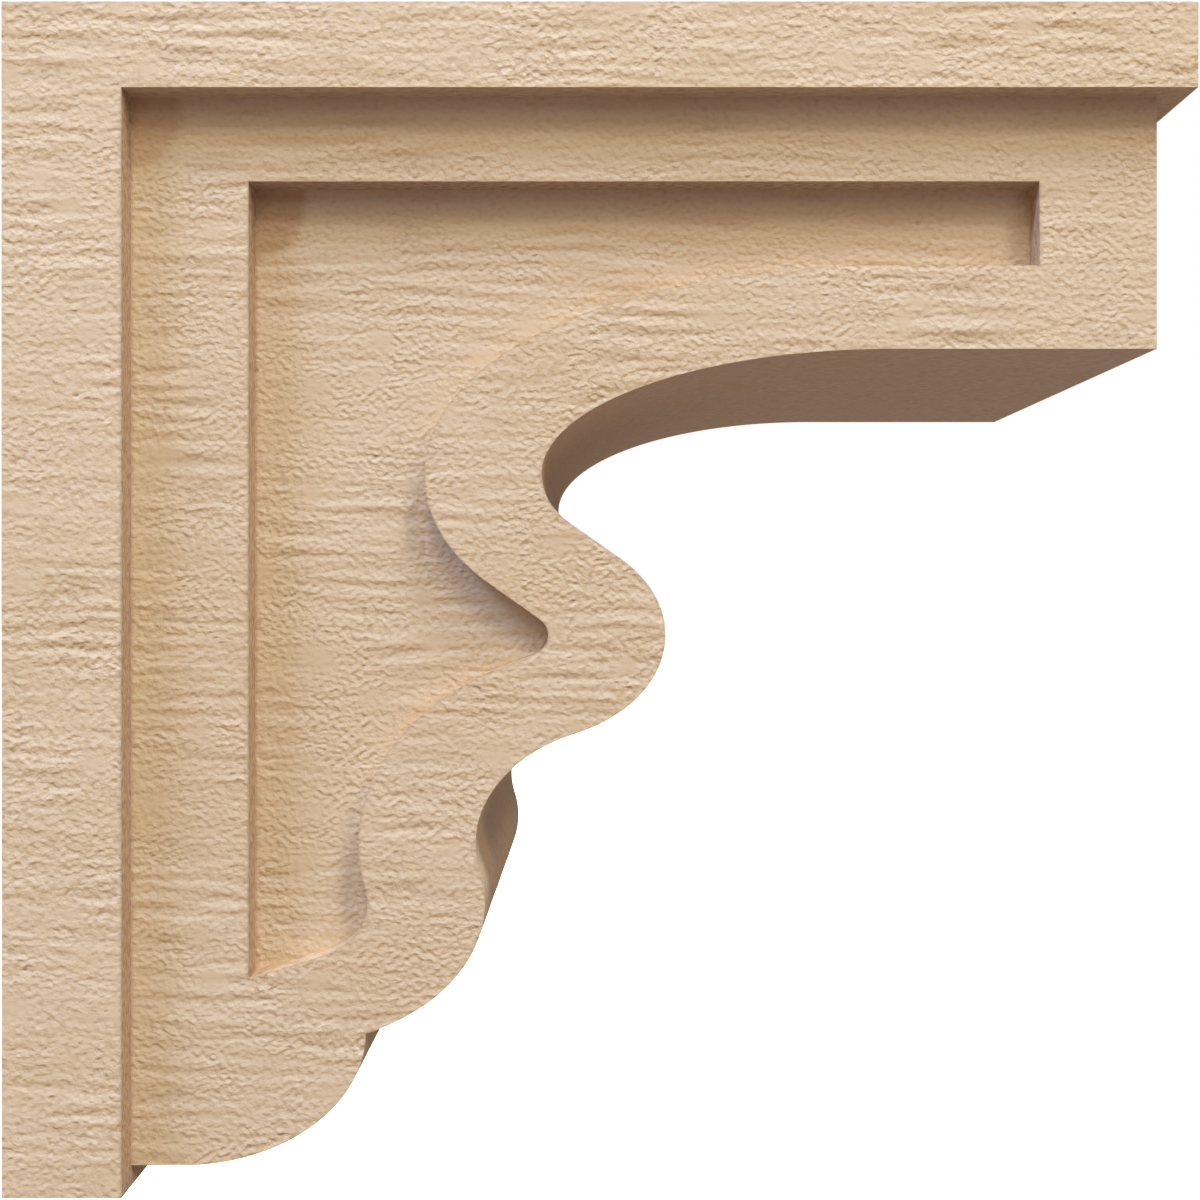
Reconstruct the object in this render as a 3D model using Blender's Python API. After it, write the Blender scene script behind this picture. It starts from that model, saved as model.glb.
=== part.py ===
"""A moulded timber-look corbel: one casting with a back plate, a top plate and a scrolled bracket.

The back face lies in the plane y = 0 and the corbel reaches out towards -Y, with its width along X.
The origin is the middle of the back face. The bracket's profile is drawn at a depth of 254 mm and
then stretched outwards, so its circles become ellipses. In that drawing a point is (out, down):
its distance from the wall and its distance below the top, both in metres.
"""

import math

import bmesh
import bpy

# Overall size
HEIGHT = 0.3556
WIDTH = 0.1397
DRAWN_DEPTH = 0.254
STRETCH = 1.4

# Plates
BACK_PLATE = 0.0254
TOP_PLATE = 0.0254

# Bracket body, measured in the drawing
BODY_WIDTH = 0.127
NOSE_SETBACK = 0.00635
FOOT_LIFT = 0.00635
ARM_UNDERSIDE = 0.1016

# Cove under the arm: a quarter of an ellipse that starts level and ends upright
COVE_START = 0.1905
COVE_REACH = 0.0762
COVE_DROP = 0.0381

# Scroll below the cove: tangent circles, each with its centre (out, down). The heel circle closes the
# foot below the toe's corner, where it starts upright.
THROAT_RADIUS = 0.0206
BELLY_CENTRE = (0.1085, 0.1885)
BELLY_RADIUS = 0.0327
WAIST_CENTRE = (0.1364, 0.2517)
TOE_CENTRE = (0.0589, 0.2698)
HEEL_OUT = 0.0362
HEEL_RADIUS = 0.0400

# Sunk panel in each side
PANEL_DEPTH = 0.00635
PANEL_RIM = 0.0254
PANEL_BACK = 0.0508
PANEL_TOP = 0.0508
PANEL_FRONT = 0.22225

# How finely curves are cut, and how far one shape runs into the next before they are joined
DEGREES_PER_STEP = 4.0
COVE_STEPS = 26
OVERLAP = 0.004

# Edges: corners sharper than one angle lose a narrow flat, and shading breaks at the other
EDGE_FLAT = 0.0006
EDGE_ANGLE = math.radians(35.0)
SHARP_ANGLE = math.radians(20.0)

# Finish
TAN = (0.66, 0.50, 0.36, 1.0)
ROUGHNESS = 0.8


def arc(centre, radius, start, end):
    """Points on a circle from one angle to another, in degrees; 90 degrees points down."""
    steps = max(2, math.ceil(abs(end - start) / DEGREES_PER_STEP))
    angles = [math.radians(start + (end - start) * i / steps) for i in range(steps + 1)]
    return [(centre[0] + radius * math.cos(a), centre[1] + radius * math.sin(a)) for a in angles]


def cove(rim):
    """The quarter ellipse under the arm, moved into the body by the rim along its normal."""
    centre = (COVE_START, ARM_UNDERSIDE + COVE_DROP)
    points = []
    for i in range(COVE_STEPS + 1):
        turn = 0.5 * math.pi * i / COVE_STEPS
        out = -math.sin(turn)
        down = -math.cos(turn)
        slope = math.hypot(out / COVE_REACH, down / COVE_DROP)
        points.append((
            centre[0] + COVE_REACH * out + rim * out / (COVE_REACH * slope),
            centre[1] + COVE_DROP * down + rim * down / (COVE_DROP * slope),
        ))
    return points


def bearing(start, end):
    """Direction from one centre to another in degrees, and the distance between them."""
    out = end[0] - start[0]
    down = end[1] - start[1]
    return math.degrees(math.atan2(down, out)), math.hypot(out, down)


def scroll(rim):
    """Cove, throat, belly, waist and toe as one tangent curve, and the angle where the toe ends.

    With a rim, the same curve is moved into the body by that distance: hollow curves grow by it
    and round ones shrink by it.
    """
    throat_centre = (COVE_START - COVE_REACH + THROAT_RADIUS, ARM_UNDERSIDE + COVE_DROP)
    to_belly, belly_distance = bearing(throat_centre, BELLY_CENTRE)
    lean = math.degrees(math.acos((THROAT_RADIUS + BELLY_RADIUS) / belly_distance))
    throat_end = to_belly + lean

    to_waist, waist_distance = bearing(BELLY_CENTRE, WAIST_CENTRE)
    waist_radius = waist_distance - BELLY_RADIUS
    to_toe, toe_distance = bearing(WAIST_CENTRE, TOE_CENTRE)
    toe_radius = toe_distance - waist_radius
    toe_end = math.degrees(math.acos((HEEL_OUT + HEEL_RADIUS - TOE_CENTRE[0]) / toe_radius))

    points = cove(rim)
    points += arc(throat_centre, THROAT_RADIUS + rim, 180.0, throat_end)[1:]
    points += arc(BELLY_CENTRE, BELLY_RADIUS - rim, throat_end - 180.0, to_waist)
    points += arc(WAIST_CENTRE, waist_radius + rim, to_waist + 180.0, to_toe)[1:]
    points += arc(TOE_CENTRE, toe_radius - rim, to_toe - 180.0, toe_end)[1:]
    return points, toe_end


def bracket_outline():
    """The bracket's outline, from the nose round under the arm and down to the foot."""
    points, _ = scroll(0.0)
    foot = HEIGHT - FOOT_LIFT
    heel_centre = (HEEL_OUT, points[-1][1])
    heel_end = math.degrees(math.asin((foot - heel_centre[1]) / HEEL_RADIUS))
    nose = DRAWN_DEPTH - NOSE_SETBACK
    root = BACK_PLATE - OVERLAP
    crown = TOP_PLATE - OVERLAP
    outline = [(root, crown), (nose, crown), (nose, ARM_UNDERSIDE)]
    outline += points
    outline += arc(heel_centre, HEEL_RADIUS, 0.0, heel_end)[1:]
    outline.append((root, foot))
    return outline


def panel_outline():
    """The sunk panel's outline: the bracket's own curve one rim further in, closed by straights."""
    points, toe_end = scroll(PANEL_RIM)
    last = points[-1]
    rise = 1.0 / math.tan(math.radians(toe_end))
    corner = (PANEL_BACK, last[1] + (last[0] - PANEL_BACK) * rise)
    arm = ARM_UNDERSIDE - PANEL_RIM
    outline = [(PANEL_BACK, PANEL_TOP), (PANEL_FRONT, PANEL_TOP), (PANEL_FRONT, arm)]
    outline += points
    outline.append(corner)
    return outline


def place(x, point):
    """A point of the drawing at a given x, stretched outwards and set in the corbel's frame."""
    out, down = point
    return (x, -out * STRETCH, HEIGHT / 2 - down)


def finish():
    """The moulding's pale tan primer."""
    material = bpy.data.materials.new("tan_primer")
    material.use_nodes = True
    shader = material.node_tree.nodes["Principled BSDF"]
    shader.inputs["Base Color"].default_value = TAN
    shader.inputs["Roughness"].default_value = ROUGHNESS
    shader.inputs["Metallic"].default_value = 0.0
    return material


def prism(name, outline, low, high):
    """A closed solid with the given outline in the drawing, from one x to another."""
    shape = bmesh.new()
    face = shape.faces.new([shape.verts.new(place(low, point)) for point in outline])
    grown = bmesh.ops.extrude_face_region(shape, geom=[face])
    moved = [item for item in grown["geom"] if isinstance(item, bmesh.types.BMVert)]
    bmesh.ops.translate(shape, verts=moved, vec=(high - low, 0.0, 0.0))
    bmesh.ops.recalc_face_normals(shape, faces=shape.faces)
    mesh = bpy.data.meshes.new(name)
    shape.to_mesh(mesh)
    shape.free()
    solid = bpy.data.objects.new(name, mesh)
    bpy.context.scene.collection.objects.link(solid)
    return solid


def tool(solid):
    """Mark a solid that only adds to or cuts another."""
    solid.hide_render = True
    solid.display_type = "WIRE"
    return solid


def combine(target, other, operation):
    """Join another solid to the target, or cut it out."""
    modifier = target.modifiers.new(operation.lower(), "BOOLEAN")
    modifier.operation = operation
    modifier.solver = "EXACT"
    modifier.object = tool(other)


def build():
    """The corbel: plates as one angle section, the bracket in its corner, a sunk panel each side."""
    plates = [
        (0.0, 0.0),
        (DRAWN_DEPTH, 0.0),
        (DRAWN_DEPTH, TOP_PLATE),
        (BACK_PLATE, TOP_PLATE),
        (BACK_PLATE, HEIGHT),
        (0.0, HEIGHT),
    ]
    corbel = prism("corbel", plates, -WIDTH / 2, WIDTH / 2)
    bracket = prism("bracket_shape", bracket_outline(), -BODY_WIDTH / 2, BODY_WIDTH / 2)
    combine(corbel, bracket, "UNION")

    floor = BODY_WIDTH / 2 - PANEL_DEPTH
    outside = BODY_WIDTH / 2 + OVERLAP
    for side, name in ((1.0, "panel_left"), (-1.0, "panel_right")):
        ends = sorted((side * floor, side * outside))
        combine(corbel, prism(name, panel_outline(), ends[0], ends[1]), "DIFFERENCE")

    easing = corbel.modifiers.new("edge_flat", "BEVEL")
    easing.width = EDGE_FLAT
    easing.segments = 1
    easing.limit_method = "ANGLE"
    easing.angle_limit = EDGE_ANGLE

    corbel.data.materials.append(finish())
    corbel.data.shade_smooth()
    corbel.data.set_sharp_from_angle(angle=SHARP_ANGLE)
    return corbel


for leftover in list(bpy.data.objects):
    bpy.data.objects.remove(leftover, do_unlink=True)
build()
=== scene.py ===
"""Looks of the moulded corbel: one closed skin with a rough-sawn timber grain, its primer, and a studio.

The skin repeats the design of the frame's solid in metres: back face in the plane y = 0, the corbel
reaching out towards -Y, width along X, height along Z, origin in the middle of the back face. The
bracket's profile is drawn 254 mm deep and stretched outwards by 1.4, so its circles become ellipses.
"""

from __future__ import annotations

import logging
import math
from dataclasses import dataclass, field
from enum import Enum
from typing import TypeAlias

import bpy
import numpy as np
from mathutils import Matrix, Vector
from mathutils.geometry import delaunay_2d_cdt

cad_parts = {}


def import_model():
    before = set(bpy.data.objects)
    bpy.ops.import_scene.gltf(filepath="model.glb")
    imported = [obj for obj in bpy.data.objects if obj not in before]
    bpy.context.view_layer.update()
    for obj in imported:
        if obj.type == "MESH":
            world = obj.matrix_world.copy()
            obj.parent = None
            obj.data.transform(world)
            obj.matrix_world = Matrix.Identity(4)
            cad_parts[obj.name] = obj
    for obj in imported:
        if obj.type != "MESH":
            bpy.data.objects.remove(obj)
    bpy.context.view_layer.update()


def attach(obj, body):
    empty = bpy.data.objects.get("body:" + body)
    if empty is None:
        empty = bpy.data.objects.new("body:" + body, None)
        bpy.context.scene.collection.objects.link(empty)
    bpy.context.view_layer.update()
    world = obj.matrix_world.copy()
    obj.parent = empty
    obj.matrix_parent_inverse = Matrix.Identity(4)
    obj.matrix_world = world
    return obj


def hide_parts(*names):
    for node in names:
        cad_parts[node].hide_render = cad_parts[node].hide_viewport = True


log = logging.getLogger("corbel")

NODE = "corbel"
BODY = "root"
MITRE_LIMIT = 0.25
TINY = 1e-18

Array: TypeAlias = np.ndarray
Pair: TypeAlias = tuple[float, float]
Triple: TypeAlias = tuple[float, float, float]
Colour: TypeAlias = tuple[float, float, float, float]


@dataclass(frozen=True)
class Sizes:
    """The corbel's sizes in metres; a drawing point is (out, down) from the wall and the top."""

    height: float = 0.3556
    width: float = 0.1397
    depth: float = 0.254
    stretch: float = 1.4
    plate: float = 0.0254
    body: float = 0.127
    nose_setback: float = 0.00635
    foot_lift: float = 0.00635
    arm_underside: float = 0.1016
    cove_start: float = 0.1905
    cove_reach: float = 0.0762
    cove_drop: float = 0.0381
    throat: float = 0.0206
    belly_centre: Pair = (0.1085, 0.1885)
    belly: float = 0.0327
    waist_centre: Pair = (0.1364, 0.2517)
    toe_centre: Pair = (0.0589, 0.2698)
    heel_out: float = 0.0362
    heel: float = 0.0400
    panel_depth: float = 0.00635
    panel_rim: float = 0.0254
    panel_back: float = 0.0508
    panel_top: float = 0.0508
    panel_front: float = 0.22225

    @property
    def top(self) -> float:
        """Height of the top face."""
        return self.height / 2

    @property
    def half(self) -> float:
        """Half the plates' width."""
        return self.width / 2

    @property
    def body_half(self) -> float:
        """Half the bracket's width."""
        return self.body / 2

    @property
    def floor_half(self) -> float:
        """Distance of a sunk panel's floor from the middle plane."""
        return self.body_half - self.panel_depth

    def real(self, drawn: Array) -> Array:
        """Rows of (out, down) of the drawing as rows of (y, z) in the frame."""
        return np.column_stack((-drawn[:, 0] * self.stretch, self.top - drawn[:, 1]))


@dataclass(frozen=True)
class Pitch:
    """How far apart the skin's points are: metres, and degrees along a drawn arc."""

    grain: float = 0.0022
    across: float = 0.00094
    edge: float = 0.0022
    sweep: float = 0.0050
    plain: float = 0.0060
    inset: float = 0.00025
    arc: float = 1.0


def run(start: float, end: float, pitch: float, inset: float) -> Array:
    """Even steps from start to end, the pitch at most, and one more value an inset inside each end."""
    sign = math.copysign(1.0, end - start)
    count = max(1, math.ceil(abs(end - start) / pitch))
    inner = np.linspace(start, end, count + 1)[1:-1]
    return np.concatenate(([start, start + sign * inset], inner, [end - sign * inset, end]))


def line(start: Pair, end: Pair, pitch: float, inset: float) -> Array:
    """Points on a straight line in a plane, spaced as run spaces values."""
    first, last = np.asarray(start, float), np.asarray(end, float)
    length = float(np.linalg.norm(last - first))
    share = run(0.0, length, pitch, inset)[:, None] / length
    return first + (last - first) * share


def even(points: Array, pitch: float, inset: float) -> Array:
    """A dense polyline read again along its length, at the places that run gives."""
    steps = np.linalg.norm(np.diff(points, axis=0), axis=1)
    points = points[np.concatenate(([True], steps > 1e-9))]
    length = np.concatenate(([0.0], np.cumsum(np.linalg.norm(np.diff(points, axis=0), axis=1))))
    wanted = run(0.0, float(length[-1]), pitch, inset)
    return np.column_stack([np.interp(wanted, length, points[:, i]) for i in range(2)])


def closed(chains: list[Array]) -> Array:
    """Chains that follow each other end to end as one closed outline, each corner once."""
    return np.vstack([chain[:-1] for chain in chains])


def outline(corners: list[Pair], pitches: tuple[float, ...], inset: float) -> Array:
    """Closed outline of straight sides, each from one corner to the next with its own pitch."""
    ends = corners[1:] + corners[:1]
    return closed([line(a, b, pitch, inset) for a, b, pitch in zip(corners, ends, pitches)])


def bearing(start: Pair, end: Pair) -> Pair:
    """Direction in degrees and distance from one drawing point to another."""
    out, down = end[0] - start[0], end[1] - start[1]
    return math.degrees(math.atan2(down, out)), math.hypot(out, down)


def smoothstep(low: float, high: float, value: Array) -> Array:
    """0 below low, 1 above high, and a smooth cubic between them."""
    share = np.clip((value - low) / (high - low), 0.0, 1.0)
    return share * share * (3.0 - 2.0 * share)


@dataclass
class Profile:
    """The bracket's and the sunk panel's outlines as chains of points in (y, z)."""

    sizes: Sizes
    pitch: Pitch

    def arc(self, centre: Pair, radius: float, start: float, end: float) -> Array:
        """Points of the drawing on a circle between two angles in degrees, where 90 points down."""
        count = max(2, math.ceil(abs(end - start) / self.pitch.arc))
        turn = np.radians(np.linspace(start, end, count + 1))
        return np.column_stack((centre[0] + radius * np.cos(turn), centre[1] + radius * np.sin(turn)))

    def cove(self, rim: float) -> Array:
        """Quarter ellipse under the arm, moved into the body by the rim along its own normal."""
        s = self.sizes
        turn = np.linspace(0.0, 0.5 * math.pi, math.ceil(90.0 / self.pitch.arc) + 1)
        unit = np.column_stack((-np.sin(turn), -np.cos(turn)))
        reach = np.array((s.cove_reach, s.cove_drop))
        normal = unit / reach
        normal /= np.linalg.norm(normal, axis=1, keepdims=True)
        centre = np.array((s.cove_start, s.arm_underside + s.cove_drop))
        return centre + unit * reach + rim * normal

    def scroll(self, rim: float) -> tuple[Array, float]:
        """Cove, throat, belly, waist and toe as one tangent curve.

        Hollow curves grow by the rim and round ones shrink by it, so the curve stays parallel.

        Args:
            rim: how far the curve is moved into the body.

        Returns:
            Rows of (out, down), and the angle in degrees at which the toe's circle ends.
        """
        s = self.sizes
        throat_centre = (s.cove_start - s.cove_reach + s.throat, s.arm_underside + s.cove_drop)
        to_belly, belly_distance = bearing(throat_centre, s.belly_centre)
        throat_end = to_belly + math.degrees(math.acos((s.throat + s.belly) / belly_distance))
        to_waist, waist_distance = bearing(s.belly_centre, s.waist_centre)
        waist = waist_distance - s.belly
        to_toe, toe_distance = bearing(s.waist_centre, s.toe_centre)
        toe = toe_distance - waist
        toe_end = math.degrees(math.acos((s.heel_out + s.heel - s.toe_centre[0]) / toe))
        parts = (
            self.cove(rim),
            self.arc(throat_centre, s.throat + rim, 180.0, throat_end),
            self.arc(s.belly_centre, s.belly - rim, throat_end - 180.0, to_waist),
            self.arc(s.waist_centre, waist + rim, to_waist + 180.0, to_toe),
            self.arc(s.toe_centre, toe - rim, to_toe - 180.0, toe_end),
        )
        return np.vstack(parts), toe_end

    def bracket(self) -> list[Array]:
        """The bracket's outline below the top plate, one chain for each smooth stretch.

        Returns:
            Nose front, arm and scroll, heel, and foot, each as rows of (y, z) in that order.
        """
        s, p = self.sizes, self.pitch
        nose = s.depth - s.nose_setback
        foot = s.height - s.foot_lift
        scroll, _ = self.scroll(0.0)
        corner = scroll[-1]
        heel_end = math.degrees(math.asin((foot - corner[1]) / s.heel))
        heel = self.arc((s.heel_out, corner[1]), s.heel, 0.0, heel_end)
        heel[0] = corner
        arm = np.vstack(((nose, s.arm_underside), scroll))
        front = s.real(np.array(((nose, s.plate), (nose, s.arm_underside))))
        flat = s.real(np.array((heel[-1], (s.plate, foot))))
        return [
            line(front[0], front[1], p.across, p.inset),
            even(s.real(arm), p.edge, p.inset),
            even(s.real(heel), p.edge, p.inset),
            line(flat[0], flat[1], p.edge, p.inset),
        ]

    def panel(self) -> list[Array]:
        """The sunk panel's outline, one chain for each smooth stretch.

        Returns:
            Top, front, lower curve and back, each as rows of (y, z) in that order.
        """
        s, p = self.sizes, self.pitch
        curve, toe_end = self.scroll(s.panel_rim)
        last = curve[-1]
        fall = (last[0] - s.panel_back) / math.tan(math.radians(toe_end))
        corner = (s.panel_back, last[1] + fall)
        arm = (s.panel_front, s.arm_underside - s.panel_rim)
        low = s.real(np.vstack((arm, curve, corner)))
        upper = s.real(np.array(((s.panel_back, s.panel_top), (s.panel_front, s.panel_top), arm, corner)))
        return [
            line(upper[0], upper[1], p.grain, p.inset),
            line(upper[1], upper[2], p.edge, p.inset),
            even(low, p.edge, p.inset),
            line(upper[3], upper[0], p.edge, p.inset),
        ]


@dataclass
class Lattice:
    """Seeded gradient noise and scattered marks on a plane."""

    seed: int = 7
    size: int = 256
    table: Array = field(init=False)
    lean: Array = field(init=False)

    def __post_init__(self) -> None:
        """Draw the shuffled table and the gradient directions."""
        rng = np.random.default_rng(self.seed)
        self.table = rng.permutation(self.size)
        angle = rng.uniform(0.0, 2.0 * math.pi, self.size)
        self.lean = np.column_stack((np.cos(angle), np.sin(angle)))

    def pick(self, a: Array, b: Array, layer: int) -> Array:
        """One table index for each lattice cell and layer."""
        size = self.size
        return self.table[(self.table[(self.table[layer % size] + a) % size] + b) % size]

    def noise(self, a: Array, b: Array, layer: int) -> Array:
        """Gradient noise from about -0.7 to 0.7.

        Each lattice corner has a random slope; its plane is read at the point, and the four readings
        are blended by a fifth-order curve of the place in the cell.

        Args:
            a: first coordinate, in cells.
            b: second coordinate, in cells.
            layer: which of the independent patterns.

        Returns:
            The value at each point.
        """
        ia, ib = np.floor(a).astype(int), np.floor(b).astype(int)
        fa, fb = a - ia, b - ib
        wa = fa**3 * (fa * (fa * 6.0 - 15.0) + 10.0)
        wb = fb**3 * (fb * (fb * 6.0 - 15.0) + 10.0)

        def corner(da: int, db: int) -> Array:
            """The reading of one corner's plane."""
            slope = self.lean[self.pick(ia + da, ib + db, layer)]
            return slope[:, 0] * (fa - da) + slope[:, 1] * (fb - db)

        low = corner(0, 0) * (1.0 - wa) + corner(1, 0) * wa
        high = corner(0, 1) * (1.0 - wa) + corner(1, 1) * wa
        return low * (1.0 - wb) + high * wb

    def marks(self, a: Array, b: Array, layer: int, share: float, half: Pair) -> Array:
        """Scattered soft oval marks, at most one in each cell.

        A cell's mark sits at a random place in it. Its depth falls from 1 as a bell curve of the
        distance, measured in half-sizes along a and b.

        Args:
            a: first coordinate, in cells.
            b: second coordinate, in cells.
            layer: which of the independent patterns.
            share: share of the cells that have a mark.
            half: a mark's half-size along a and b, in cells.

        Returns:
            The deepest mark at each point, from 0 to 1.
        """
        ia, ib = np.floor(a).astype(int), np.floor(b).astype(int)
        found = np.zeros_like(a)
        for da in (-1, 0, 1):
            for db in (-1, 0, 1):
                ca, cb = ia + da, ib + db
                has = self.pick(ca, cb, layer) < share * self.size
                pa = ca + self.pick(ca, cb, layer + 1) / self.size
                pb = cb + self.pick(ca, cb, layer + 2) / self.size
                far = ((a - pa) / half[0]) ** 2 + ((b - pb) / half[1]) ** 2
                found = np.maximum(found, np.where(has, np.exp(-far), 0.0))
        return found


@dataclass(frozen=True)
class Relief:
    """How deep one face's grain is, which way it runs, and how plain the face is from 0 to 1."""

    depth: float
    turned: bool = False
    layer: int = 0
    plain: float = 0.0


@dataclass(frozen=True)
class Wave:
    """A noise on a face: its cell along and across the grain, its layer, and its height, in mm."""

    cell: Pair
    layer: int
    height: float = 1.0


@dataclass(frozen=True)
class Spots:
    """Marks on a face: cell in mm, layer, share of the cells, half-size in cells, and depth in mm."""

    cell: Pair
    layer: int
    share: float
    half: Pair
    depth: float = 1.0


@dataclass
class RoughSawn:
    """The timber grain moulded into the faces: saw rows, slow waves and calm spots, in millimetres."""

    lattice: Lattice = field(default_factory=Lattice)
    fade: float = 0.0012
    lean: float = 1.25
    faintest: float = 0.30
    gain: float = 0.85
    long_rows: Wave = Wave((34.0, 2.8), 3)
    short_rows: Wave = Wave((16.0, 2.1), 5, 0.26)
    flow: Wave = Wave((40.0, 30.0), 1, 0.8)
    ripple: Wave = Wave((12.0, 9.0), 2, 0.4)
    vigour: Wave = Wave((45.0, 40.0), 4)
    vigour_span: float = 0.25
    swell: Wave = Wave((24.0, 12.0), 9, 0.08)
    calm: Spots = Spots((30.0, 24.0), 20, 0.60, (0.13, 0.13))
    ledge: Spots = Spots((55.0, 30.0), 40, 0.40, (0.30, 0.028), 0.25)

    def wave(self, wave: Wave, g: Array, c: Array, layer: int) -> Array:
        """One of the noises, in millimetres."""
        return wave.height * self.lattice.noise(g / wave.cell[0], c / wave.cell[1], layer + wave.layer)

    def spots(self, spots: Spots, g: Array, c: Array, layer: int) -> Array:
        """One of the kinds of marks, from 0 to 1."""
        a, b = g / spots.cell[0], c / spots.cell[1]
        return self.lattice.marks(a, b, layer + spots.layer, spots.share, spots.half)

    def rows(self, g: Array, c: Array, share: Array, layer: int) -> Array:
        """Long rows, stronger where the share is high, and shorter, finer ones, in millimetres."""
        long = self.wave(self.long_rows, g, c, layer)
        return long * (self.faintest + self.gain * share) + self.wave(self.short_rows, g, c, layer)

    def read(self, along: Array, across: Array, layer: int) -> tuple[Array, Array]:
        """Grain height, and how calm the surface is.

        The rows are read at a place shifted across the grain by their own height, which makes their
        lower sides steep and their upper sides gentle. A slow flow lets them wander, a slow noise
        makes them strong in some places and faint in others, and calm spots flatten them.

        Args:
            along: place along the grain, in metres.
            across: place across the grain, in metres.
            layer: which of the independent patterns.

        Returns:
            The height in millimetres, and 1 in the heart of a calm spot and 0 away from it.
        """
        g, c = along * 1000.0, across * 1000.0
        up = c + (self.wave(self.flow, g, c, layer) + self.wave(self.ripple, g, c, layer))
        share = smoothstep(-self.vigour_span, self.vigour_span, self.wave(self.vigour, g, c, layer))
        height = self.rows(g, up + self.lean * self.rows(g, up, share, layer), share, layer)
        calm = self.spots(self.calm, g, c, layer)
        ledge = self.ledge.depth * self.spots(self.ledge, g, c, layer)
        return height * (1.0 - calm) + self.wave(self.swell, g, c, layer) - ledge * (1.0 - calm), calm


class Side(Enum):
    """The two sides of the corbel, by the sign of x."""

    LEFT = -1.0
    RIGHT = 1.0


@dataclass
class Patch:
    """One face of the skin: its points, triangles, outward normals, and values at the points."""

    name: str
    points: Array
    faces: Array
    normals: Array
    values: dict[str, Array] = field(default_factory=dict)


@dataclass(frozen=True)
class Plane:
    """A flat face's place: an axis that it faces along, and the two that span it."""

    normal: Triple
    level: float
    first: int
    second: int

    def place(self, flat: Array) -> Array:
        """Points in space of rows of the two spanning coordinates."""
        points = np.zeros((len(flat), 3))
        points[:, 3 - self.first - self.second] = self.level
        points[:, self.first] = flat[:, 0]
        points[:, self.second] = flat[:, 1]
        return points


def distance_and_inside(points: Array, loops: list[Array]) -> tuple[Array, Array]:
    """Distance of each point to the nearest outline, and whether it lies within the outlines.

    The distance to a segment is measured to the foot of the perpendicular, held between its ends. A
    point is inside if a ray from it crosses the outlines an odd number of times.

    Args:
        points: rows of plane coordinates.
        loops: closed outlines without a repeated last point.

    Returns:
        The distances, and a mask of the points inside.
    """
    start = np.vstack(loops)
    end = np.vstack([np.roll(loop, -1, axis=0) for loop in loops])
    near = np.full(len(points), np.inf)
    crossings = np.zeros(len(points), int)
    px, py = points[:, 0:1], points[:, 1:2]
    block = 64
    for first in range(0, len(start), block):
        a, b = start[first : first + block], end[first : first + block]
        ax, ay, bx, by = a[:, 0], a[:, 1], b[:, 0], b[:, 1]
        dx, dy = bx - ax, by - ay
        share = ((px - ax) * dx + (py - ay) * dy) / np.maximum(dx * dx + dy * dy, TINY)
        share = np.clip(share, 0.0, 1.0)
        far = np.hypot(px - ax - share * dx, py - ay - share * dy)
        near = np.minimum(near, far.min(axis=1))
        spans = (ay > py) != (by > py)
        reach = ax + (py - ay) * dx / np.where(dy == 0.0, TINY, dy)
        crossings += (spans & (px < reach)).sum(axis=1)
    return near, crossings % 2 == 1


@dataclass(frozen=True)
class ShadeLine:
    """A line under an overhang, how much shade is painted on the face beside it, and how far that reaches.
    """

    start: Pair
    end: Pair
    strength: float
    full: float
    reach: float

    def shade_paint(self, points: Array) -> Array:
        """The strength up to the full distance from the line, falling smoothly to 0 at the reach."""
        far, _ = distance_and_inside(points, [np.array((self.start, self.end))])
        return self.strength * (1.0 - smoothstep(self.full, self.reach, far))


@dataclass(frozen=True)
class ShadePaint:
    """How much shade is painted on the faces along an overhang and in a corner, from 0 to 1; sizes in
    metres.
    """

    overhang: float = 0.48
    front: float = 0.50
    plate_corner: float = 0.50
    panel_corner: float = 0.70
    reach: float = 0.0072
    corner_drop: float = 0.006
    corner_full: float = 0.013
    corner_reach: float = 0.0175

    def along(self, start: Pair, end: Pair, strength: float) -> ShadeLine:
        """The strip beside an overhang."""
        return ShadeLine(start, end, strength, 0.0, self.reach)

    def corner(self, top: Pair, strength: float) -> ShadeLine:
        """The corner between an overhang and the upright edge below its end."""
        low = (top[0], top[1] - self.corner_drop)
        return ShadeLine(top, low, strength, self.corner_full, self.corner_reach)


def inset_loop(loop: Array, inset: float) -> Array:
    """The outline's points moved to its left by a distance, with mitred corners.

    Args:
        loop: closed outline without a repeated last point, the face on its left.
        inset: distance moved.

    Returns:
        One moved point for each point.
    """
    ahead = np.roll(loop, -1, axis=0) - loop
    ahead /= np.linalg.norm(ahead, axis=1, keepdims=True)
    left = np.column_stack((-ahead[:, 1], ahead[:, 0]))
    mitre = left + np.roll(left, 1, axis=0)
    mitre /= np.maximum((mitre * left).sum(axis=1, keepdims=True), MITRE_LIMIT)
    return loop + inset * mitre


def area_of(loop: Array) -> float:
    """Twice the signed area of a closed outline."""
    ahead = np.roll(loop, -1, axis=0)
    return float((loop[:, 0] * ahead[:, 1] - ahead[:, 0] * loop[:, 1]).sum())


def rim_edges(loops: list[Array]) -> list[list[int]]:
    """Pairs of point numbers along each closed outline, the outlines' points numbered in a row."""
    starts = np.cumsum([0] + [len(loop) for loop in loops])
    rings = [np.arange(first, first + len(loop)) for first, loop in zip(starts, loops)]
    return np.vstack([np.column_stack((ring, np.roll(ring, -1))) for ring in rings]).tolist()


def ends_of(faces: Array) -> Array:
    """The two point numbers of each side of each triangle."""
    return np.vstack((faces[:, [0, 1]], faces[:, [1, 2]], faces[:, [2, 0]])).astype(np.int64)


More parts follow.
